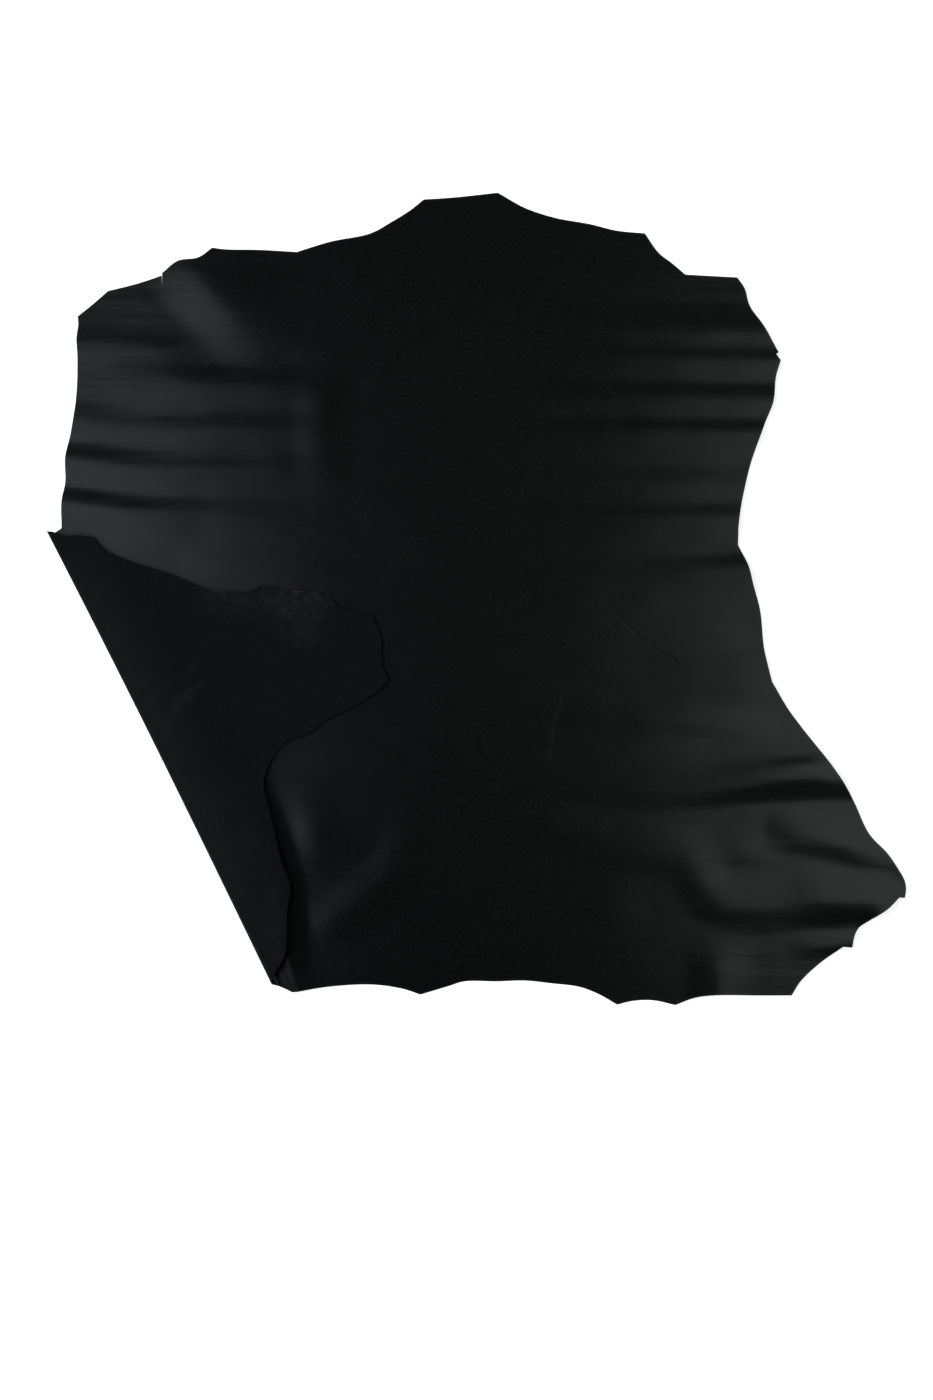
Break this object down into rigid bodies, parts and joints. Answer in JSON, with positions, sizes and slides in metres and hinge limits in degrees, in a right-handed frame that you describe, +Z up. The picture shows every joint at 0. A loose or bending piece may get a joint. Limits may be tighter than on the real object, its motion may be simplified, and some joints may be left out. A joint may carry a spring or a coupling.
{
  "type": "leather hide",
  "caption": "Whole black leather hide lying flat, grain side up, with its left hind leg folded over to show the flesh side.",
  "frame": {"origin": "on the surface that the hide lies on, under the middle of its outer box", "axes": "+X across the hide towards its right hind leg, +Y along the backbone towards the neck, +Z up from the surface"},
  "size_m": [2.1464, 2.03, 0.041],
  "materials": {
    "leather": "semi-matt pigmented grain on top, matt suede flesh side on the folded leg"
  },
  "bodies": {
    "root": {"hide": "leather"}
  },
  "joints": []
}
